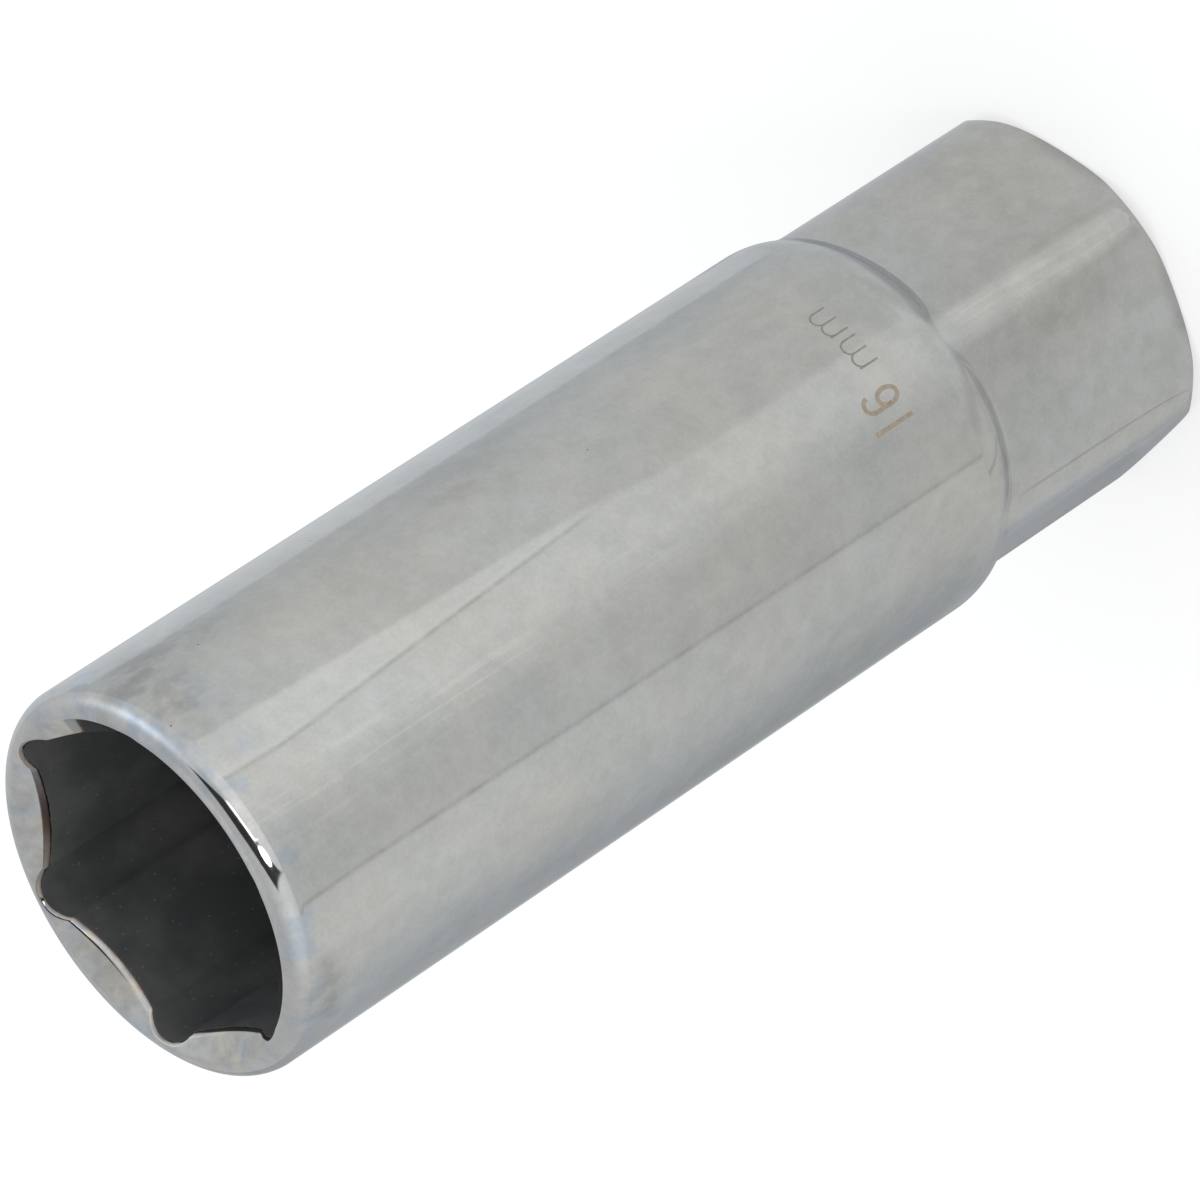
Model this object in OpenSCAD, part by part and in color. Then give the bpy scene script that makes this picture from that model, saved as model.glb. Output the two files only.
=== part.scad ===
// Spark plug socket, standing on its drive end with the hexagon mouth up.
// One piece of turned and broached steel, with a rubber sleeve inside that grips the plug.
// Z is the socket's axis, the drive end is at Z = 0, and all sizes are in millimetres.

/* [Outside] */
// Length from the drive end to the mouth
overall_length = 65; // [60:0.1:90]
// Diameter of the long body
body_d = 21.4; // [21.2:0.1:26]
// Height at which the round shoulder reaches the full body
shoulder_top = 16.4; // [14:0.1:20]
// Radius of the round shoulder
shoulder_r = 3.5; // [2:0.1:8]
// Radius turned on the end of the wrench hexagon
end_round = 1.65; // [0.8:0.05:2.5]
// Radius of the lip, from the body up to the crest where the countersink cuts it
lip_round = 1.4; // [0.8:0.05:2]

/* [Wrench hexagon on the drive end] */
// Wrench size across the flats
wrench_size = 19; // [18:0.1:19.2]
// Diameter to which the corners are turned
wrench_corner_d = 21.1; // [20:0.1:21.1]
// Turn of the corners from the flats of the hexagon mouth, in degrees
wrench_turn = -7.5; // [-30:0.5:30]

/* [Hexagon mouth] */
// Plug hexagon across its flats
hex_size = 16; // [14:0.5:16]
// Clearance on the plug hexagon, across the flats
hex_clearance = 0.1; // [0.02:0.02:0.2]
// Depth of the hexagon from the mouth
hex_depth = 16; // [12:0.5:20]
// Radius of the round relief in each corner of the hexagon
relief_r = 1.6; // [1:0.05:2]
// How far a relief reaches past its corner of the hexagon
relief_reach = 0.05; // [0.02:0.01:0.4]
// How far the countersink reaches past the reliefs
countersink_reach = 0.18; // [0.02:0.01:0.4]
// Slope of the countersink below the flat of the mouth, in degrees
countersink_slope = 34; // [25:1:50]

/* [Bore] */
// Diameter of the round bore behind the hexagon
bore_d = 16.8; // [16.3:0.1:17.6]
// Diameter of the hole through the web
through_d = 9.2; // [6:0.1:9.4]
// Thickness of the web between the bore and the drive square
web_thickness = 5; // [3:0.1:8]

/* [Drive square] */
// Driver square across its flats
drive_size = 9.53; // [9.53:0.01:10]
// Clearance on the driver square, across the flats
drive_clearance = 0.15; // [0.1:0.05:0.3]
// Depth of the square from the drive end
drive_depth = 12; // [10:0.5:14]
// Radius in the corners of the square
drive_corner_r = 0.5; // [0.2:0.1:1]
// Diameter of the countersink round the square, at the drive end
drive_countersink_d = 12.6; // [11:0.1:15]
// Height of the detent recesses above the drive end
detent_height = 5.6; // [4.5:0.1:7]
// Radius of the ball that shapes a detent recess
detent_r = 2; // [1.5:0.1:2.5]
// Depth of a detent recess in the wall of the square
detent_depth = 0.7; // [0.4:0.1:1]

/* [Rubber insert] */
// Length of the insert
insert_length = 20; // [14:0.5:26]
// Diameter of the insert's bore, which grips the plug's insulator
grip_d = 10; // [9:0.1:12]
// Clearance between the insert and the bore, on the radius
insert_clearance = 0.1; // [0.05:0.05:0.3]
// Width of the flare that leads the insulator into the insert
lead_in = 1.5; // [0.5:0.1:2]
// Bevel on the insert's two outer edges
insert_bevel = 0.5; // [0.2:0.1:1]

/* [Hidden] */
$fn = 96;

// How far a cutting shape runs past the face that it cuts
past = 1;

body_radius = body_d / 2;
bore_floor = drive_depth + web_thickness;
hex_floor = overall_length - hex_depth;

wrench_flat = wrench_size / 2;
wrench_corner_radius = wrench_corner_d / 2;

hex_flat = (hex_size + hex_clearance) / 2;
hex_corner = hex_flat / cos(30);
relief_tip = hex_corner + relief_reach;
countersink_r = relief_tip + countersink_reach;
drive_flat = (drive_size + drive_clearance) / 2;
drive_countersink_r = drive_countersink_d / 2;

insert_radius = bore_d / 2 - insert_clearance;
grip_radius = grip_d / 2;

// What a rounding of radius r takes off an outer corner that lies at (r, r).
module corner_waste(r) {
    difference() {
        square(r + past);
        circle(r);
    }
}

// Half of the turned outside: shoulder, body and lip. The shoulder's circle is tangent to the body.
module turned_outline() {
    difference() {
        union() {
            translate([body_radius - shoulder_r, shoulder_top]) circle(shoulder_r);
            translate([0, shoulder_top]) square([body_radius, overall_length - shoulder_top]);
        }
        translate([body_radius - lip_round, overall_length - lip_round]) corner_waste(lip_round);
    }
}

// The drive end: a hexagon with a corner on the X axis before its turn, whose corners and end are turned.
// It runs up into the body.
module drive_end() {
    intersection() {
        rotate(wrench_turn) linear_extrude(shoulder_top + past) circle(wrench_flat / cos(30), $fn = 6);
        rotate_extrude() difference() {
            square([wrench_corner_radius, shoulder_top + 2 * past]);
            translate([wrench_corner_radius - end_round, end_round]) mirror([0, 1]) corner_waste(end_round);
        }
    }
}

// The broached section of the mouth: a hexagon with a round relief in each corner.
module relieved_hexagon() {
    rotate(30) circle(hex_corner, $fn = 6);
    for (corner = [30:60:330])
        rotate(corner) translate([relief_tip - relief_r, 0]) circle(relief_r);
}

// The hexagon and the countersink that leads the plug into it.
module mouth_cut() {
    translate([0, 0, hex_floor]) linear_extrude(hex_depth + past) relieved_hexagon();
    cone_r = countersink_r + past;
    cone_tip = overall_length - countersink_r * tan(countersink_slope);
    translate([0, 0, cone_tip]) cylinder(cone_r * tan(countersink_slope), r1 = 0, r2 = cone_r);
}

// The round bore that holds the insert, and the hole through the web below it.
module bore_cut() {
    translate([0, 0, bore_floor]) cylinder(hex_floor - bore_floor, d = bore_d);
    translate([0, 0, drive_depth - past]) cylinder(web_thickness + 2 * past, d = through_d);
}

// A square with rounded corners.
module rounded_square(half, r) {
    square([2 * half, 2 * (half - r)], center = true);
    square([2 * (half - r), 2 * half], center = true);
    for (x = [-1, 1], y = [-1, 1])
        translate([x * (half - r), y * (half - r)]) circle(r);
}

// The driver's square hole, its countersink and a ball detent recess in each wall.
module drive_cut() {
    translate([0, 0, -past]) linear_extrude(drive_depth + past) rounded_square(drive_flat, drive_corner_r);
    translate([0, 0, -past]) cylinder(drive_countersink_r + past, r1 = drive_countersink_r + past, r2 = 0);
    for (side = [0:90:270])
        rotate(side) translate([drive_flat + detent_depth - detent_r, 0, detent_height]) sphere(detent_r);
}

module socket_body() {
    color("silver") difference() {
        union() {
            rotate_extrude() turned_outline();
            drive_end();
        }
        mouth_cut();
        bore_cut();
        drive_cut();
    }
}

// Half of the sleeve's section, from its bore to its bevelled outside.
module insert_outline() {
    polygon([
        [grip_radius, 0],
        [insert_radius - insert_bevel, 0],
        [insert_radius, insert_bevel],
        [insert_radius, insert_length - insert_bevel],
        [insert_radius - insert_bevel, insert_length],
        [grip_radius + lead_in, insert_length],
        [grip_radius, insert_length - lead_in],
    ]);
}

module rubber_insert() {
    color("#1c1c1c") translate([0, 0, bore_floor]) rotate_extrude() insert_outline();
}

socket_body();
rubber_insert();
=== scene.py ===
import bpy
import numpy as np
from mathutils import Euler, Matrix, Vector


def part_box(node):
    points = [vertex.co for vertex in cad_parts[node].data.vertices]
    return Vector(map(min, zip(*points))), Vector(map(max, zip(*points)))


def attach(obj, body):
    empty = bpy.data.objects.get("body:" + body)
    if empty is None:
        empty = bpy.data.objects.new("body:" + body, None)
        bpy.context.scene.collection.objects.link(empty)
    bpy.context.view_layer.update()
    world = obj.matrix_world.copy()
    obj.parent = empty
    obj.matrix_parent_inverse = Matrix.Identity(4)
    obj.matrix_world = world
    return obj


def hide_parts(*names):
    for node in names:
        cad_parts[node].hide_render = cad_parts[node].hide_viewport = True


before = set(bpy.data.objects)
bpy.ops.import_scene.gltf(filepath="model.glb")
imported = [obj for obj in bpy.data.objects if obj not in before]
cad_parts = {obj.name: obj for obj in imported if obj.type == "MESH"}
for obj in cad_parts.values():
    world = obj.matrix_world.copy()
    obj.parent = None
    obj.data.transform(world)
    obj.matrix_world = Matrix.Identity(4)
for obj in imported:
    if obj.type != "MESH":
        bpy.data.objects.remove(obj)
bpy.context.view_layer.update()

# The socket body: one piece of forged steel with a wrench hexagon on its drive end, turned outside, broached
# to a hexagon in the mouth and to a square in the drive end, then chrome plated. The plating thins out just
# inside the mouth, where the wall stays black. It is worked out as rings, from the drive end round to itself.
MM = 0.001
FRONT = np.radians(-74.5)
LENGTH = 65.0
BODY_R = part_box("socket_body")[1][0] / MM
WRENCH_FLAT = 9.5
WRENCH_CORNER_R = 10.55
WRENCH_TURN = np.radians(-7.5)
SHOULDER_TOP = 16.4
SHOULDER_R = 3.5
CREASE_SOFTENING = 0.3
END_ROUND = 1.65
END_SOFTENING = 0.15
LIP_ROUND = 1.4
CREST_ROUND = 0.3
HEX_FLAT = 8.05
HEX_FLOOR = LENGTH - 16
RELIEF_R = 1.6
RELIEF_REACH = 0.05
RELIEF_TIP = HEX_FLAT / np.cos(np.pi / 6) + RELIEF_REACH
COUNTERSINK_REACH = 0.18
CONE_R = RELIEF_TIP + COUNTERSINK_REACH
CONE_SLOPE = np.radians(34)
CONE_LINE_LENGTH = 2.2
EDGE_BEVEL_ON_FLAT, EDGE_BEVEL_IN_RELIEF = 0.16, 0.10
EDGE_BEVEL_SLOPE = np.radians(64)
EDGE_SOFTENING = 0.10
BEVEL_SHARE_SOFTENED = 0.3
BORE_R = 8.4
BORE_FLOOR = 17.0
THROUGH_R = 4.6
SQUARE_FLOOR = 12.0
SQUARE_FLAT = 4.84
SQUARE_CORNER_R = 0.5
SQUARE_CONE_R = 6.3
DETENT_Z, DETENT_R, DETENT_DEPTH = 5.6, 2.0, 0.7
FACE_EDGE, FACE_STEP = 0.02, 0.9
SHARP_ANGLE = np.radians(32)


def on_circle(centre, radius, angle):
    """Points on a circle at given angles: the centre plus the radius times their cosines and sines."""
    return np.stack([centre[0] + radius * np.cos(angle), centre[1] + radius * np.sin(angle)], axis=-1)


def arc(centre, radius, start, end, count):
    """Points on a circle at evenly spaced angles, in radians."""
    return on_circle(centre, radius, np.linspace(start, end, count))


def line(start, end, count):
    """Evenly spaced points on the straight line from start to end."""
    share = np.linspace(0, 1, count)[:, None]
    return np.array(start) * (1 - share) + np.array(end) * share


def curve(start, middle, end, count):
    """Points of the curve from start to end that leaves and arrives along the lines to the middle:
    the middle weighs 2 t (1 - t), the start (1 - t) squared and the end t squared."""
    t = np.linspace(0, 1, count)[:, None, None]
    return (1 - t) ** 2 * start + 2 * t * (1 - t) * middle + t ** 2 * end


def between(first, last, share):
    """Rings that lie between two given rings, at those shares of the way from the first to the last."""
    share = np.asarray(share)[:, None, None]
    return first[None] * (1 - share) + last[None] * share


def all_round(stops, counts, repeats):
    """Angles of one closed ring. The stops are those of one repeat, with that many equal steps from each to
    the next, and the whole turn repeats them."""
    steps = [np.linspace(a, b, n, endpoint=False) for a, b, n in zip(stops, stops[1:], counts)]
    turns = np.arange(repeats)[:, None] * (stops[-1] - stops[0])
    return (turns + np.concatenate(steps)).ravel()


def carried_round(points, angle):
    """Rings of a profile that is carried round the axis. The points are a radius and a height, for each ring
    and angle, and a place is the radius times the angle's cosine and sine, at the height."""
    radius, height = points[..., 0], points[..., 1]
    return np.stack([radius * np.cos(angle), radius * np.sin(angle), height + 0 * angle], axis=-1)


def turned(points, angle):
    """Rings of a profile that is the same at every angle, as on a lathe."""
    return carried_round(points[:, None], angle)


def circle_reach(centre, radius, angle):
    """How far from the axis a circle reaches at an angle from its centre: the centre's distance times the
    cosine, plus the root of the radius squared less the distance times the sine squared. A miss gives 0."""
    inside = radius ** 2 - (centre * np.sin(angle)) ** 2
    return np.where(inside > 0, centre * np.cos(angle) + np.sqrt(np.maximum(inside, 0)), 0)


def closed_mesh(name, rings, attribute=None):
    """An object from a grid of rings that closes both round each ring and from the last ring to the first."""
    count, around = rings.shape[:2]
    ring, place = np.meshgrid(np.arange(count), np.arange(around), indexing="ij")
    next_ring, next_place = (ring + 1) % count, (place + 1) % around
    corners = [(ring, place), (ring, next_place), (next_ring, next_place), (next_ring, place)]
    faces = np.stack([r * around + p for r, p in corners], axis=-1).reshape(-1, 4)
    mesh = bpy.data.meshes.new(name)
    mesh.from_pydata((rings.reshape(-1, 3) * MM).tolist(), [], faces.tolist())
    if attribute is not None:
        layer = mesh.attributes.new(attribute[0], "FLOAT", "POINT")
        layer.data.foreach_set("value", attribute[1].astype(np.float32).ravel())
    mesh.polygons.foreach_set("use_smooth", np.ones(len(mesh.polygons), dtype=bool))
    mesh.set_sharp_from_angle(angle=SHARP_ANGLE)
    obj = bpy.data.objects.new(name, mesh)
    bpy.context.scene.collection.objects.link(obj)
    return obj


# The mouth's section: at each angle a flat, at its distance over the cosine of the angle from its middle, or
# the circle of the relief in the corner where that reaches further. The angles stop where a relief starts and
# where a flat meets the bore. Here and below the steps add up to 360 a ring, so that every ring joins the
# next one.
relief_centre = RELIEF_TIP - RELIEF_R
relief_sink = HEX_FLAT - relief_centre * np.cos(np.pi / 6)
flat_half_length = relief_centre / 2 - np.sqrt(RELIEF_R ** 2 - relief_sink ** 2)
relief_starts = np.arctan2(flat_half_length, HEX_FLAT)
meets_bore = np.arccos(HEX_FLAT / BORE_R)
hex_stops = [-np.pi / 6, -relief_starts, -meets_bore, meets_bore, relief_starts, np.pi / 6]
hex_angle = all_round(hex_stops, [12, 4, 28, 4, 12], 6)
from_flat = (hex_angle + np.pi / 6) % (np.pi / 3) - np.pi / 6
from_corner = hex_angle % (np.pi / 3) - np.pi / 6
hex_r = np.maximum(HEX_FLAT / np.cos(from_flat), circle_reach(relief_centre, RELIEF_R, from_corner))

# The drive end's section: flats in the same way, and near each corner the circle that touches both flats and
# reaches out to the turned corner.
corner_centre = (WRENCH_CORNER_R - WRENCH_FLAT) / (1 - np.cos(np.pi / 6))
corner_r = WRENCH_CORNER_R - corner_centre
corner_half_angle = np.arctan2(corner_r / 2, corner_centre + corner_r * np.cos(np.pi / 6))
wrench_stops = [-np.pi / 6, -corner_half_angle, corner_half_angle, np.pi / 6]
wrench_angle = WRENCH_TURN + all_round(wrench_stops, [16, 28, 16], 6)
from_corner = (wrench_angle - WRENCH_TURN + np.pi / 6) % (np.pi / 3) - np.pi / 6
wrench_r = np.where(np.abs(from_corner) < corner_half_angle,
                    circle_reach(corner_centre, corner_r, from_corner),
                    WRENCH_FLAT / np.cos(np.pi / 6 - np.abs(from_corner)))

# Drive end: at each angle the turned end runs up to the hexagon, the hexagon's wall up to the crease, and the
# shoulder's circle from there to the body. Above it the rings turn to the angles that the mouth needs.
end_centre = (WRENCH_CORNER_R - END_ROUND, END_ROUND)
shoulder_centre = (BODY_R - SHOULDER_R, SHOULDER_TOP)
end_stop = -np.arccos(np.minimum((wrench_r - end_centre[0]) / END_ROUND, 1))
crease_stop = -np.arccos((wrench_r - shoulder_centre[0]) / SHOULDER_R)
end_edge = on_circle(end_centre, END_ROUND, end_stop)
crease = on_circle(shoulder_centre, SHOULDER_R, crease_stop)
end_stop = np.maximum(end_stop - END_SOFTENING / END_ROUND, -np.pi / 2)
crease_stop = crease_stop + CREASE_SOFTENING / SHOULDER_R
round_share, shoulder_share = np.linspace(0, 1, 9)[:, None], np.linspace(0, 1, 18)[:, None]
end_points = on_circle(end_centre, END_ROUND, -np.pi / 2 + round_share * (end_stop + np.pi / 2))
shoulder_points = on_circle(shoulder_centre, SHOULDER_R, crease_stop * (1 - shoulder_share))
above_end, below_crease = end_edge + [0, END_SOFTENING], crease - [0, CREASE_SOFTENING]
drive_end_points = np.concatenate([
    end_points,
    curve(end_points[-1], end_edge, above_end, 7)[1:],
    between(above_end, below_crease, [0.25, 0.5, 0.75]),
    curve(below_crease, crease, shoulder_points[0], 9),
    shoulder_points[1:],
])
body_share = np.linspace(0, 1, 14)[1:-1, None]
body_z = SHOULDER_TOP + (LENGTH - LIP_ROUND - SHOULDER_TOP) * body_share + 0 * hex_angle
body_points = np.stack([np.full_like(body_z, BODY_R), body_z], axis=-1)
end_face = line((SQUARE_CONE_R + FACE_STEP, 0), (SQUARE_CONE_R + 2 * FACE_STEP, 0), 2)
outside_rings = np.concatenate([
    turned(end_face, hex_angle),
    carried_round(drive_end_points, wrench_angle),
    carried_round(body_points, wrench_angle + (hex_angle - wrench_angle) * body_share),
])

# Rim: the lip's circle and the countersink's line, with a small circle for the crest that touches both.
lip_centre = np.array([BODY_R - LIP_ROUND, LENGTH - LIP_ROUND])
cone_normal = np.array([-np.sin(CONE_SLOPE), np.cos(CONE_SLOPE)])
lip_to_crest = LIP_ROUND - CREST_ROUND
gap = -CREST_ROUND - cone_normal @ (lip_centre - [CONE_R, LENGTH])
cone_way = np.pi / 2 + CONE_SLOPE
lip_end = cone_way - np.arccos(gap / lip_to_crest)
crest_centre = lip_centre + lip_to_crest * np.array([np.cos(lip_end), np.sin(lip_end)])
cone_start = crest_centre + CREST_ROUND * cone_normal
cone_end = cone_start + CONE_LINE_LENGTH * np.array([-np.cos(CONE_SLOPE), -np.sin(CONE_SLOPE)])
rim = np.vstack([
    arc(lip_centre, LIP_ROUND, 0, lip_end, 60),
    arc(crest_centre, CREST_ROUND, lip_end, cone_way, 40)[1:],
    line(cone_start, cone_end, 80)[1:],
])
rim_step = np.arange(len(rim))


def rim_place(radius):
    """The step of the rim, counted in from the lip, at which it has come in to a given radius."""
    return np.interp(-radius, -rim[:, 0], rim_step)


def on_rim(place):
    """The rim's points, as radius and height, at given steps and parts of a step."""
    return np.stack([np.interp(place, rim_step, rim[:, i]) for i in range(2)], axis=-1)


# Mouth: at each angle the rim runs in to a steep bevel along the hexagon's edge, then the wall goes down to
# the hexagon's floor. The bevel's two edges are softened with a curve from three points.
relief_share = (hex_r - HEX_FLAT) / (RELIEF_TIP - HEX_FLAT)
bevel = EDGE_BEVEL_ON_FLAT + (EDGE_BEVEL_IN_RELIEF - EDGE_BEVEL_ON_FLAT) * relief_share
rim_end_place = rim_place(hex_r + bevel + EDGE_SOFTENING)
rim_end, bevel_top = on_rim(rim_end_place), on_rim(rim_place(hex_r + bevel))
bevel_foot = np.stack([hex_r, bevel_top[:, 1] - bevel * np.tan(EDGE_BEVEL_SLOPE)], axis=-1)
wall_top = bevel_foot - [0, EDGE_SOFTENING]
wall_foot = np.stack([hex_r, np.full_like(hex_r, HEX_FLOOR)], axis=-1)
rim_points = on_rim(np.linspace(0, 1, 34)[1:, None] * rim_end_place)
high_bevel, low_bevel = between(bevel_top, bevel_foot, [BEVEL_SHARE_SOFTENED, 1 - BEVEL_SHARE_SOFTENED])
wall_share = np.concatenate([np.linspace(0, 0.1, 9)[1:], np.linspace(0.1, 1, 10)[1:]])
mouth_rings = carried_round(np.concatenate([
    rim_points,
    curve(rim_end, bevel_top, high_bevel, 7)[1:],
    curve(low_bevel, bevel_foot, wall_top, 7),
    between(wall_top, wall_foot, wall_share),
]), hex_angle)

# Bore and web: the bore's cylinder, its floor and the through hole.
bore_rings = turned(np.vstack([
    line((BORE_R, HEX_FLOOR), (BORE_R, BORE_FLOOR), 6),
    line((BORE_R, BORE_FLOOR), (THROUGH_R, BORE_FLOOR), 4)[1:],
    line((THROUGH_R, BORE_FLOOR), (THROUGH_R, SQUARE_FLOOR), 4)[1:],
]), hex_angle)

# Square: flats in the same way, with a circle in each corner. A ball's dimple goes into each wall, as deep as
# the ball's own height there, and a countersink ends the square on the drive end's face.
corner_starts = np.arctan2(SQUARE_FLAT - SQUARE_CORNER_R, SQUARE_FLAT)
square_stops = [-np.pi / 6, corner_starts, np.pi / 2 - corner_starts, np.pi / 3]
square_angle = all_round(square_stops, [57, 24, 9], 4)
from_flat = (square_angle + np.pi / 4) % (np.pi / 2) - np.pi / 4
from_corner = square_angle % (np.pi / 2) - np.pi / 4
square_r = np.where(np.abs(from_flat) > corner_starts,
                    circle_reach((SQUARE_FLAT - SQUARE_CORNER_R) * np.sqrt(2), SQUARE_CORNER_R, from_corner),
                    SQUARE_FLAT / np.cos(from_flat))
flat_way = np.round(square_angle / (np.pi / 2)) * (np.pi / 2)
square_x, square_y = square_r * np.cos(square_angle), square_r * np.sin(square_angle)
along_wall = square_y * np.cos(flat_way) - square_x * np.sin(flat_way)
square_edge_z = np.maximum(SQUARE_CONE_R - square_r, 0)
square_z = SQUARE_FLOOR + (square_edge_z - SQUARE_FLOOR) * np.linspace(0, 1, 44)[:, None]
ball = DETENT_R ** 2 - along_wall ** 2 - (square_z - DETENT_Z) ** 2
dimple = np.maximum(np.sqrt(np.maximum(ball, 0)) + DETENT_DEPTH - DETENT_R, 0)
square_rings = np.stack([square_x + dimple * np.cos(flat_way),
                         square_y + dimple * np.sin(flat_way), square_z], axis=-1)
face_r = np.maximum(square_r, SQUARE_CONE_R) + FACE_EDGE
face_ring = np.stack([face_r * np.cos(square_angle), face_r * np.sin(square_angle), 0 * face_r], axis=-1)
cone_rings = between(square_rings[-1], face_ring, np.linspace(0, 1, 5)[1:])

# Each point of the mouth's bevel and wall, and of the bore, also holds how deep below the bevel's foot it is.
body_rings = np.concatenate([outside_rings, mouth_rings, bore_rings, square_rings, cone_rings])
bevel_start = len(outside_rings) + len(rim_points)
square_start = len(outside_rings) + len(mouth_rings) + len(bore_rings)
depth = np.full(body_rings.shape[:2], -1.0)
depth[bevel_start:square_start] = bevel_foot[:, 1] - body_rings[bevel_start:square_start, :, 2]
socket_body = closed_mesh("socket_body_plated", body_rings, ("mouth_depth", depth))


class Wire:
    """One socket of a node tree. Sums on wires add Math nodes, and node() adds any other node."""

    def __init__(self, tree, socket=None):
        self.tree = tree
        self.socket = socket

    def node(self, kind, settings=None, inputs=None, output=0):
        """Adds a node: its settings first, then the value or the wire of each named or numbered socket."""
        made = self.tree.nodes.new("ShaderNode" + kind)
        for key, value in (settings or {}).items():
            setattr(made, key, value)
        self.feed(made, inputs or {})
        return Wire(self.tree, made.outputs[output])

    def feed(self, node, inputs):
        """Sets a node's sockets: a wire is linked, and a plain value is written."""
        for key, value in inputs.items():
            if isinstance(value, Wire):
                self.tree.links.new(value.socket, node.inputs[key])
            else:
                node.inputs[key].default_value = value

    def math(self, operation, *values):
        return self.node("Math", {"operation": operation}, dict(enumerate(values)))

    def __add__(self, other):
        return self.math("ADD", self, other)

    def __sub__(self, other):
        return self.math("SUBTRACT", self, other)

    def __rsub__(self, other):
        return self.math("SUBTRACT", other, self)

    def __mul__(self, other):
        return self.math("MULTIPLY", self, other)

    def __truediv__(self, other):
        return self.math("DIVIDE", self, other)

    def __rtruediv__(self, other):
        return self.math("DIVIDE", other, self)

    __radd__ = __add__
    __rmul__ = __mul__

    def rise(self, low, high):
        """A smooth step from 0 at low to 1 at high."""
        return self.node("MapRange", {"interpolation_type": "SMOOTHSTEP"}, {0: self, 1: low, 2: high})

    def bell(self, middle, width):
        """A bell of height 1 round the middle: e to the power of minus the square of distance over width."""
        off = (self - middle) / width
        return self.math("EXPONENT", off * off * -1)

    def mix(self, first, second):
        """The first colour where this wire is 0, the second where it is 1."""
        return self.node("Mix", {"data_type": "RGBA"}, {0: self, 6: first, 7: second}, output=2)

    def tinted(self, colour, share):
        """This colour multiplied by another one, as far as the share goes."""
        return self.node("Mix", {"data_type": "RGBA", "blend_type": "MULTIPLY"},
                         {0: share, 6: self, 7: colour}, output=2)

    def noise(self, scale, detail=4.0):
        """Cloudy noise from 0 to 1 on this place, with that many clouds to a unit of length."""
        inputs = {"Vector": self, "Scale": scale, "Detail": detail, "Roughness": 0.6}
        return self.node("TexNoise", None, inputs)

    def stretched(self, scale):
        """This place with its x, y and z multiplied by those of the scale."""
        return self.node("VectorMath", {"operation": "MULTIPLY"}, {0: self, 1: scale})

    def parts(self, count=3):
        """The x, y and z of this place, or the first of them."""
        return [self.node("SeparateXYZ", None, {0: self}, output=i) for i in range(count)]


def new_material(name):
    """A material with its shader left as it comes, a bare wire of its tree to start from, and the wire of
    the place on the piece, in millimetres."""
    material = bpy.data.materials.new(name)
    material.use_nodes = True
    tree = Wire(material.node_tree)
    metres = tree.node("TexCoord", output=3)
    return material, tree, tree.node("VectorMath", {"operation": "SCALE"}, {0: metres, 3: 1 / MM})


def from_front(x, y):
    """How far a place lies ahead, towards the body's front, and how far aside, towards the mark's end."""
    return x * np.cos(FRONT) + y * np.sin(FRONT), y * np.cos(FRONT) - x * np.sin(FRONT)


def degrees_of(aside, ahead):
    """The angle from straight ahead: the arc tangent of the way aside over the way ahead."""
    return ahead.math("ARCTAN2", aside, ahead) * np.degrees(1)


def degrees_from_front(x, y):
    """The angle round the axis from the body's front."""
    ahead, aside = from_front(x, y)
    return degrees_of(aside, ahead)


# Colours of the plate, and those by which stains, heat, painted crease shade and painted highlight streaks
# multiply it. The countersink's tints fade between two radii and between two heights.
DULL_PLATE, BRIGHT_PLATE = (0.56, 0.565, 0.555, 1), (0.70, 0.71, 0.715, 1)
WARM_HAZE, POLISH_AND_HIGHLIGHT = (1.0, 0.985, 0.95, 1), (1.12, 1.12, 1.10, 1)
BROWN, BLUE = (0.74, 0.73, 0.70, 1), (0.80, 0.85, 0.93, 1)
CREASE_SHADE = (0.62, 0.64, 0.67, 1)
CONE_GREY, CONE_YELLOW, MOUTH_BLUE = (0.84, 0.83, 0.82, 1), (1.04, 0.99, 0.90, 1), (0.86, 0.92, 1.02, 1)
CONE_FADE_R, CONE_FADE_Z = (9.3, 9.6), (62.5, 63)
PIT = (0.3, 0.26, 0.24, 1)
SCORCH, DEEP_SCORCH = (0.35, 0.25, 0.20, 1), (0.13, 0.09, 0.08, 1)
BLACKENED, GRIT = (0.068, 0.070, 0.072, 1), (0.17, 0.17, 0.165, 1)

# Each stain is a bell in the angle from the front and in the height: the middle and the width of both, and
# how strong it is.
BROWN_STAINS = [
    (46, 22, 62.9, 2.2, 1.0), (58, 8, 59.5, 4.0, 0.9), (-56, 15, 63.2, 1.2, 1.0), (-30, 5, 58, 6, 0.25),
    (50, 16, 41, 4, 0.45), (-74, 9, 35, 5, 0.4), (-62, 12, 25, 7, 0.35), (-6, 10, 8, 5, 0.45),
    (40, 26, 5.5, 2.8, 0.4),
]
BLUE_STAINS = [
    (20, 7, 62.0, 1.6, 0.5), (38, 10, 61.0, 1.8, 0.6), (-67, 9, 52, 10, 0.5), (-12, 6, 47, 5, 0.35),
    (72, 8, 34, 12, 0.4), (-74, 12, 8, 9, 1.0),
]

chrome, tree, point = new_material("chrome_plate")
x, y, z = point.parts()
side = degrees_from_front(x, y)
radius = tree.math("SQRT", x * x + y * y)
cloud, mottle, grain = point.noise(0.22), point.noise(0.9), point.noise(5.0, 2.0)
tone = cloud.rise(0.3, 0.7) * 0.35 + mottle.rise(0.3, 0.7) * 0.4 + grain.rise(0.3, 0.7) * 0.25
plate = tone.mix(DULL_PLATE, BRIGHT_PLATE).tinted(WARM_HAZE, point.noise(0.11).rise(0.44, 0.60))

# Polishing left fine lines along the body's front and along the drive end's front corner. They are painted as
# brighter streaks only where those highlights fall, so they are partly a painted highlight.
streaks = point.stretched((1, 1, 0.03)).noise(2.6).rise(0.50, 0.68)
polish_and_highlight = side.bell(-3, 10) * z.rise(26, 44) + side.bell(7, 6) * (1 - z.rise(14, 15))
plate = plate.tinted(POLISH_AND_HIGHLIGHT, streaks * polish_and_highlight)

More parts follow.
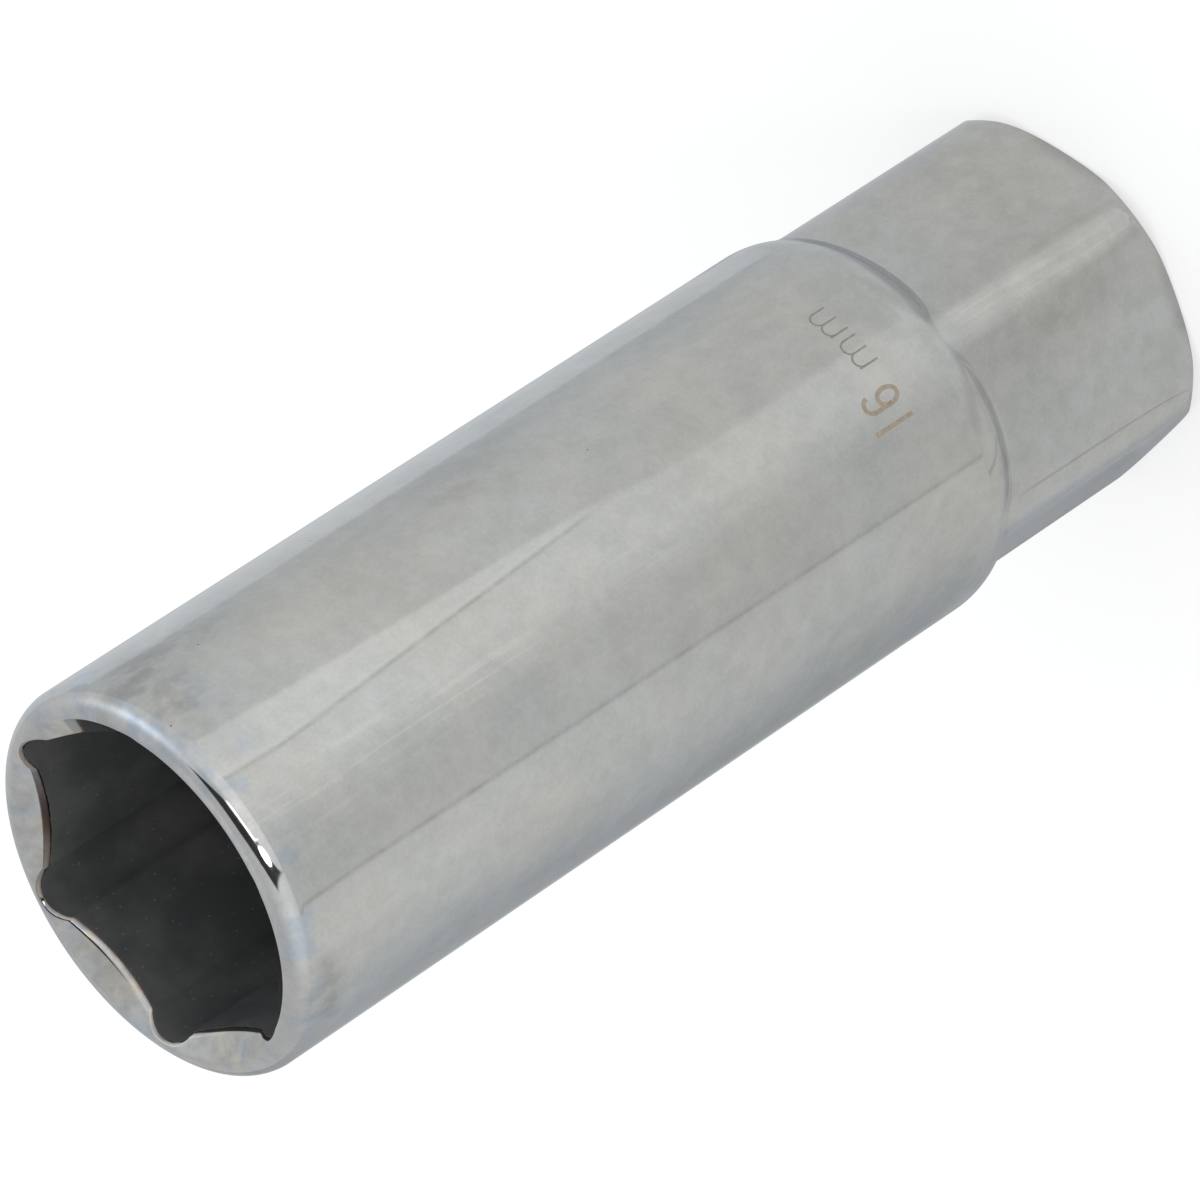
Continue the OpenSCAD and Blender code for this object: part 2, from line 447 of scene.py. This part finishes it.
# The stains are frayed, and hang down a little.
hanging = point.stretched((1, 1, 0.6))
frayed = hanging.noise(0.75, 3.0).rise(0.36, 0.64)
for stains, colour in ((BROWN_STAINS, BROWN), (BLUE_STAINS, BLUE)):
    where = sum(share * side.bell(angle, broad) * z.bell(height, high)
                for angle, broad, height, high, share in stains)
    plate = plate.tinted(colour, where.rise(0, 1.0) * (0.25 + frayed * 0.75))

# Painted shade lies on the shoulder's circle down in the crease, and more of it towards the end of the mark.
outward, upward = radius - shoulder_centre[0], z - SHOULDER_TOP
off_shoulder = tree.math("ABSOLUTE", tree.math("SQRT", outward * outward + upward * upward) - SHOULDER_R)
in_crease = (1 - off_shoulder.rise(0.06, 0.14)) * (SHOULDER_TOP - z).rise(0.9, 1.5)
plate = plate.tinted(CREASE_SHADE, in_crease * (0.35 + 0.65 * side.rise(5, 25)))

# The countersink is clouded grey and yellow, the lip and the countersink blue, and a few pits lie all over.
on_cone = (1 - radius.rise(*CONE_FADE_R)) * z.rise(*CONE_FADE_Z)
plate = plate.tinted(CONE_GREY, on_cone * frayed)
plate = plate.tinted(MOUTH_BLUE, z.rise(60, 64) * point.noise(0.55, 2.0).rise(0.5, 0.66))
plate = plate.tinted(CONE_YELLOW, on_cone * hanging.noise(0.45, 2.0).rise(0.5, 0.66))
pits = 1 - tree.node("TexVoronoi", None, {"Vector": point, "Scale": 0.26}).rise(0.008, 0.016)
plate = plate.tinted(PIT, pits)

# Where the plate ends inside the mouth it is scorched, most along one flat, and the wall below is black with
# specks of grit.
mouth_depth = tree.node("Attribute", {"attribute_name": "mouth_depth"}, output=2)
black = (mouth_depth + (mottle - 0.5) * 0.12 + (grain - 0.5) * 0.1).rise(-0.05, 0.05)
plate = plate.tinted(SCORCH, (mouth_depth + (mottle - 0.5) * 0.3).bell(0, 0.12) * 0.8)
plate = plate.tinted(DEEP_SCORCH, mouth_depth.rise(-0.5, -0.3) * side.bell(134, 32))
grit = (1 - tree.node("TexVoronoi", None, {"Vector": point, "Scale": 1.8}).rise(0.06, 0.13)) * 0.9
blackened = (cloud.rise(0.35, 0.65) * 0.4 + grit).mix(BLACKENED, GRIT)
tree.feed(chrome.node_tree.nodes["Principled BSDF"], {
    "Base Color": black.mix(plate, blackened),
    "Metallic": 1 - black,
    "Roughness": 0.05 + mottle.rise(0.3, 0.7) * 0.05 + black * 0.47,
})
socket_body.data.materials.append(chrome)
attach(socket_body, "root")
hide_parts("socket_body")

# The size mark: the hexagon's size in millimetres, in thin strokes etched through the plate on the front
# of the body, just above the shoulder. Its bare steel has turned tan. The strokes are worked out flat, as
# millimetres to the right and up, and then laid round the body.
MARK_FOOT = 19.25
DIGIT_WIDTH, LETTER_WIDTH = 0.25, 0.11
ONE_AT, ONE_HEIGHT = -1.10, 2.6
SIX_AT, SIX_HALF_WIDTH = 0.30, 0.43
SIX_HOOK_Z, SIX_HOOK_R = 1.85, 0.5
SIX_BOWL_Z, SIX_BOWL_R = 0.75, 0.63
LETTERS_AT = (2.15, 4.35)
LETTER_HEIGHT, LETTER_ARCH_R = 1.28, 0.42
LETTER_DROP, STEM_SHORT = 0.15, 0.05
STROKE_DEPTH, STROKE_PROUD = 0.04, 0.004
PALE_TAN, DARK_TAN = (0.43, 0.36, 0.28, 1), (0.33, 0.28, 0.22, 1)
PALE_LETTER, DARK_LETTER = (0.35, 0.33, 0.29, 1), (0.25, 0.23, 0.20, 1)


def letter_m(right):
    """The strokes of an m that starts so far to the right: a stem, and two arches that end in stems."""
    spring = LETTER_HEIGHT - LETTER_ARCH_R
    stem = line((0, 0), (0, LETTER_HEIGHT - STEM_SHORT), 4)
    arch = np.vstack([
        arc((LETTER_ARCH_R, spring), LETTER_ARCH_R, np.pi, 0, 13),
        line((2 * LETTER_ARCH_R, spring), (2 * LETTER_ARCH_R, 0), 4)[1:],
    ])
    return [s + (right, -LETTER_DROP) for s in (stem, arch, arch + (2 * LETTER_ARCH_R, 0))]


def laid_stroke(points, width):
    """Corners of a stroke laid round the body, four to each of its points: half the width to the left and
    to the right of the stroke's way, both just proud of the body and sunk below it."""
    way = np.gradient(points, axis=0)
    way /= np.linalg.norm(way, axis=1, keepdims=True)
    left = np.stack([-way[:, 1], way[:, 0]], axis=-1) * width / 2
    flat = np.stack([points + left, points + left, points - left, points - left], axis=1)
    radius = BODY_R + np.array([STROKE_PROUD, -STROKE_DEPTH, -STROKE_DEPTH, STROKE_PROUD])
    angle = FRONT + flat[..., 0] / BODY_R
    return np.stack([radius * np.cos(angle), radius * np.sin(angle), MARK_FOOT + flat[..., 1]], axis=-1)


def stroke_faces(count, first):
    """Faces of a stroke with that many points: four sides from each point to the next, and its two ends."""
    point, corner = np.meshgrid(np.arange(count - 1), np.arange(4), indexing="ij")
    here, after, next_corner = 4 * point, 4 * point + 4, (corner + 1) % 4
    sides = np.stack([here + corner, after + corner, after + next_corner, here + next_corner], axis=-1)
    last = 4 * (count - 1)
    ends = [[0, 1, 2, 3], [last + 3, last + 2, last + 1, last]]
    return (np.vstack([sides.reshape(-1, 4), ends]) + first).tolist()


six_left = SIX_AT - SIX_HALF_WIDTH
digit_one = line((ONE_AT, 0), (ONE_AT, ONE_HEIGHT), 6)
digit_six = np.vstack([
    arc((0, 0), 1, np.radians(10), np.pi, 14) * (SIX_HALF_WIDTH, SIX_HOOK_R) + (SIX_AT, SIX_HOOK_Z),
    line((six_left, SIX_HOOK_Z), (six_left, SIX_BOWL_Z), 5)[1:],
    arc((0, 0), 1, np.pi, 3 * np.pi, 33)[1:] * (SIX_HALF_WIDTH, SIX_BOWL_R) + (SIX_AT, SIX_BOWL_Z),
])
strokes = [laid_stroke(digit, DIGIT_WIDTH) for digit in (digit_one, digit_six)]
strokes += [laid_stroke(stroke, LETTER_WIDTH) for right in LETTERS_AT for stroke in letter_m(right)]
mark_faces = []
first = 0
for stroke in strokes:
    mark_faces += stroke_faces(len(stroke), first)
    first += 4 * len(stroke)
mark_mesh = bpy.data.meshes.new("size_mark")
mark_mesh.from_pydata((np.concatenate(strokes).reshape(-1, 3) * MM).tolist(), [], mark_faces)
size_mark = bpy.data.objects.new("size_mark", mark_mesh)
bpy.context.scene.collection.objects.link(size_mark)
etched, tree, point = new_material("etched_steel")
in_letters = degrees_from_front(*point.parts(2)).rise(7, 9)
tan = point.noise(3.0).rise(0.3, 0.7)
tree.feed(etched.node_tree.nodes["Principled BSDF"], {
    "Base Color": in_letters.mix(tan.mix(DARK_TAN, PALE_TAN), tan.mix(DARK_LETTER, PALE_LETTER)),
    "Metallic": 0.2,
    "Roughness": 0.45 + tan * 0.15,
})
size_mark.data.materials.append(etched)
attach(size_mark, "root")

# The rubber insert: a moulded sleeve pushed down the bore to its floor. Its mouth is flared to lead the
# plug's insulator in, its outer edges are bevelled, and every edge is a little round from the mould.
INSERT_CLEARANCE = 0.1
INSERT_R = BORE_R - INSERT_CLEARANCE
INSERT_LENGTH = 20.0
GRIP_R = 5.0
LEAD_IN = 1.5
INSERT_BEVEL = 0.5
MOULD_ROUND = 0.2
DARK_RUBBER, PALE_RUBBER = (0.014, 0.014, 0.015, 1), (0.03, 0.03, 0.03, 1)
insert_top = BORE_FLOOR + INSERT_LENGTH


def softened(corners, reach, count):
    """A closed outline with each corner made round: a curve leaves one side and joins the next that far
    from the corner, with the corner as its middle point."""
    corners = np.array(corners)
    ways = [np.roll(corners, shift, axis=0) - corners for shift in (1, -1)]
    starts, ends = (corners + reach * way / np.linalg.norm(way, axis=1, keepdims=True) for way in ways)
    return curve(starts, corners, ends, count).transpose(1, 0, 2).reshape(-1, 2)


insert_outline = softened([
    (GRIP_R, BORE_FLOOR),
    (INSERT_R - INSERT_BEVEL, BORE_FLOOR),
    (INSERT_R, BORE_FLOOR + INSERT_BEVEL),
    (INSERT_R, insert_top - INSERT_BEVEL),
    (INSERT_R - INSERT_BEVEL, insert_top),
    (GRIP_R + LEAD_IN, insert_top),
    (GRIP_R, insert_top - LEAD_IN),
], MOULD_ROUND, 6)
insert_angle = np.linspace(0, 2 * np.pi, 144, endpoint=False)
rubber_insert = closed_mesh("rubber_insert_moulded", turned(insert_outline, insert_angle))
rubber, tree, point = new_material("moulded_rubber")
grain = tree.node("TexNoise", None, {"Vector": point, "Scale": 0.9, "Detail": 3.0})
tree.feed(rubber.node_tree.nodes["Principled BSDF"], {
    "Base Color": grain.mix(DARK_RUBBER, PALE_RUBBER),
    "Roughness": 0.6 + grain * 0.2,
})
rubber_insert.data.materials.append(rubber)
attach(rubber_insert, "root")
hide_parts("rubber_insert")

# The studio: a white floor under a white tent of light. To the camera the floor is white with the
# socket's shadow, and in the chrome it shows the soft bands and seams that a tent of sheets has.
VIEW_ELEVATION = np.radians(33.08)
FLOOR_HALF = 3
SHEET_MIDDLE, SHEET_EDGE = (0.99, 1.0, 0.985, 1), (0.945, 0.99, 1.03, 1)
floor_corners = [(x * FLOOR_HALF, y * FLOOR_HALF, 0) for x, y in ((-1, -1), (1, -1), (1, 1), (-1, 1))]
floor_mesh = bpy.data.meshes.new("floor")
floor_mesh.from_pydata(floor_corners, [], [(0, 1, 2, 3)])
floor = bpy.data.objects.new("floor", floor_mesh)
bpy.context.scene.collection.objects.link(floor)
white_floor, tree, point = new_material("white_floor")
x, y = point.parts(2)
ahead, aside = from_front(x, y)
bearing = degrees_of(aside, ahead)
reach = tree.math("SQRT", x * x + y * y)

# The place on the body's wall whose reflection lands on this point of the floor: the angle is half of the
# bearing and a little more, because the wall stands off the axis, and the height follows from the reach.
side = bearing * 0.5
stand_off = tree.math("MINIMUM", BODY_R / reach, 1.0)
for _ in range(2):
    turn = tree.math("ARCSINE", stand_off * tree.math("SINE", side * np.radians(1))) * np.degrees(1)
    side = (bearing + turn) * 0.5
off_front = tree.math("ABSOLUTE", side)
up_wall = tree.math("MINIMUM", (reach - BODY_R) * np.tan(VIEW_ELEVATION), LENGTH)

# The body reflects a dark lower edge, a seam that leans a little, a light front with a wedge that opens
# towards the mouth, and a light upper edge. The last two lines are changes by the mouth and by the shoulder.
from_seam = side + 27.2 - 1.6 * up_wall.rise(5, 72)
wedge_low = 13 + 0.24 * (64 - tree.math("MAXIMUM", up_wall, 37))
wedge_high = 25.5 - 0.14 * (64 - up_wall)
wedge_fade = up_wall.rise(34, 42)
in_wedge = (side - wedge_low).rise(0, 0.8) * (wedge_high - side).rise(0, 1.2) * wedge_fade
wedge_line = (side - wedge_low).bell(-0.4, 0.45) * wedge_fade
front_end = wedge_low - 3 * (1 - up_wall.rise(28, 38))
by_mouth, by_shoulder = up_wall.rise(42, 56), 1 - up_wall.rise(26, 40)
body_bands = (0.675 - 0.27 * (side * -1).rise(36, 84)
              - 0.06 * from_seam.rise(-1.5, 1)
              - (0.125 + 0.025 * up_wall.rise(30, 60)) * from_seam.bell(0, 0.6)
              + 0.17 * side.rise(-10, 8) - 0.10 * (side - front_end).rise(-0.5, 2)
              + 0.14 * in_wedge - 0.20 * wedge_line
              - 0.11 * side.rise(24, 64) + 0.13 * side.rise(64, 65.5) - 0.02 * side.rise(68, 80)
              + 0.03 * side.bell(-34, 9) * up_wall.rise(40, 60)
              - (0.04 * side.bell(-17, 8) + 0.035 * side.rise(63, 66)) * by_mouth
              + (0.05 * side.bell(52, 12) - 0.03 * side.bell(25, 8)) * by_shoulder)
body_bands = body_bands * (0.95 + 0.11 * up_wall.rise(15, 65))

# Close to the socket the wrench hexagon reflects the floor: a flat all one way, and a corner a fan of ways.
# So the bands there are painted by the way from the front corner and from the one at the side.
corner_angles = [WRENCH_TURN - FRONT - k * np.pi / 3 for k in (1, 2)]
from_front_corner, from_side_corner = (
    degrees_of(aside - WRENCH_CORNER_R * np.sin(angle), ahead - WRENCH_CORNER_R * np.cos(angle))
    for angle in corner_angles)
past_side = from_side_corner * -1
drive_end_bands = (
    0.612 + 0.10 * from_front_corner.rise(-40, 6) * (1 - from_front_corner.rise(44, 62))
    - 0.15 * past_side.rise(100, 150) * (1 - past_side.rise(172, 180))
    - 0.07 * from_front_corner.bell(-50, 16) - 0.05 * from_front_corner.bell(74, 10)
    - 0.18 * from_side_corner.bell(-58, 2.4) * (1 - reach.rise(27, 30)))
# Right round the socket's foot the sheet is darker: a painted contact shadow, since its glow casts none.
drive_end_bands = drive_end_bands * (0.8 + 0.2 * reach.rise(9.6, 10.8))
far = reach.rise(28.5, 32.5)
behind = off_front.rise(79, 89)
bands = drive_end_bands * (1 - far) + body_bands * far
bands = bands * (1 - behind) + (0.35 + 0.20 * far) * behind

sheet_colour = off_front.rise(42, 68).mix(SHEET_MIDDLE, SHEET_EDGE)
sheet = tree.node("Emission", None, {"Color": sheet_colour, "Strength": bands})
paper = tree.node("BsdfDiffuse", None, {"Color": (0.95, 0.95, 0.95, 1)})
glow = tree.node("Emission", None, {"Color": (1, 1, 1, 1), "Strength": 1.2})
to_camera, in_chrome = (tree.node("LightPath", output=i) for i in (0, 3))
white = tree.node("MixShader", None, {0: to_camera * 0.5, 1: paper, 2: glow})
lit_floor = tree.node("MixShader", None, {0: in_chrome, 1: white, 2: sheet})
tree.feed(white_floor.node_tree.nodes["Material Output"], {"Surface": lit_floor})
floor.data.materials.append(white_floor)

# The tent over it: white to the camera, and in the chrome a roof with a dark opening, a bright strip along
# the opening's front edge, and lighter parts at the sides.
SKY, BLUE_SKY = (0.985, 0.995, 1.0, 1), (0.90, 0.96, 1.04, 1)
tent = bpy.data.worlds.new("tent")
tent.use_nodes = True
bpy.context.scene.world = tent
tree = Wire(tent.node_tree)
x, y, up = tree.node("TexCoord", output=0).parts()
ahead, aside = from_front(x, y)
bearing = degrees_of(aside, ahead)
height = tree.math("ARCSINE", up) * np.degrees(1)
front_edge = 0.66 - 0.2 * aside + 0.12 * (aside * -1).rise(0.12, 0.15)
back_edge = 0.25 + 0.5 * tree.math("MAXIMUM", aside * -1, 0.0)
opening = ((ahead - back_edge).rise(-0.03, 0.03) * (front_edge - ahead).rise(-0.02, 0.02)
           * (1 - 1.6 * aside - ahead).rise(-0.03, 0.03) * (aside + 0.48).rise(-0.02, 0.02))
strip = ((ahead - front_edge).rise(-0.01, 0.02) * (front_edge + 0.11 - ahead).rise(-0.01, 0.02)
         * (aside + 0.15).rise(0, 0.02) * (1 - aside.rise(0.20, 0.24)))
roof = (0.58 + 0.20 * bearing.bell(85, 45) * (1 - height.rise(45, 75))
        + 0.55 * bearing.bell(92, 30) * (height + 0.35 * bearing).bell(68, 13)
        + 0.30 * bearing.bell(-58, 42) * height.bell(28, 35)
        + 0.40 * bearing.bell(10, 36) * (1 - height.rise(30, 50))
        + 0.10 * ahead.bell(-0.35, 0.2) * aside.bell(0.1, 0.3))
roof = roof * (1 - 0.93 * opening) + 1.5 * strip * up.rise(0, 0.1)
to_camera, in_chrome = (tree.node("LightPath", output=i) for i in (0, 3))
tree.feed(tent.node_tree.nodes["Background"], {
    "Color": (bearing.bell(92, 30) * height.bell(35, 20)).mix(SKY, BLUE_SKY),
    "Strength": to_camera + (1 - to_camera) * (in_chrome * roof + (1 - in_chrome) * 0.85),
})


def hang_lamp(name, bearing, height, distance, size, level):
    """An area lamp that faces the socket's mouth, with its power worked out from the level it shows:
    pi times its area, that of an ellipse, times that level."""
    lamp = bpy.data.lights.new(name, "AREA")
    lamp.shape = "ELLIPSE"
    lamp.size, lamp.size_y = size
    lamp.energy = np.pi * (np.pi / 4 * size[0] * size[1]) * level
    obj = bpy.data.objects.new(name, lamp)
    bearing, height = FRONT + np.radians(bearing), np.radians(height)
    way = Vector((np.cos(height) * np.cos(bearing), np.cos(height) * np.sin(bearing), np.sin(height)))
    obj.location = Vector((0, 0, LENGTH * MM)) + distance * way
    obj.rotation_euler = way.to_track_quat("Z", "Y").to_euler()
    bpy.context.scene.collection.objects.link(obj)
    return obj


hang_lamp("front_lamp", bearing=-19.5, height=35, distance=0.6, size=(0.11, 0.24), level=4.0)
roof_lamp = hang_lamp("roof_lamp", bearing=40, height=75, distance=0.9, size=(0.7, 0.7), level=0.5)
roof_lamp.visible_glossy = False

# The camera: the photograph's view, looking down on the socket and rolled so that the mouth is low on
# the left. Its place follows from the pixel and the size at which the photograph shows the mouth.
IMAGE_SIDE = 1200
MOUTH_PIXEL = (144.92, 892.31)
PIXELS_PER_BODY_RADIUS = 222.55
DISTANCE_IN_BODY_RADII = 41.5
SENSOR = 36.0
VIEW_AZIMUTH = FRONT + np.pi / 2
VIEW_ROLL = np.radians(-123.43)
turned_view = Euler((np.pi / 2 - VIEW_ELEVATION, 0, VIEW_AZIMUTH)).to_matrix()
turned_view = turned_view @ Euler((0, 0, VIEW_ROLL)).to_matrix()
pixel = BODY_R * MM / PIXELS_PER_BODY_RADIUS
right_of_mouth = (IMAGE_SIDE / 2 - MOUTH_PIXEL[0]) * pixel
above_mouth = (MOUTH_PIXEL[1] - IMAGE_SIDE / 2) * pixel
from_mouth = Vector((right_of_mouth, above_mouth, DISTANCE_IN_BODY_RADII * BODY_R * MM))
lens = bpy.data.cameras.new("camera")
lens.sensor_width = SENSOR
lens.lens = PIXELS_PER_BODY_RADIUS * DISTANCE_IN_BODY_RADII / IMAGE_SIDE * SENSOR
camera = bpy.data.objects.new("camera", lens)
camera.location = Vector((0, 0, LENGTH * MM)) + turned_view @ from_mouth
camera.rotation_euler = turned_view.to_euler()
bpy.context.scene.collection.objects.link(camera)
bpy.context.scene.camera = camera
bpy.context.scene.view_settings.view_transform = "Standard"
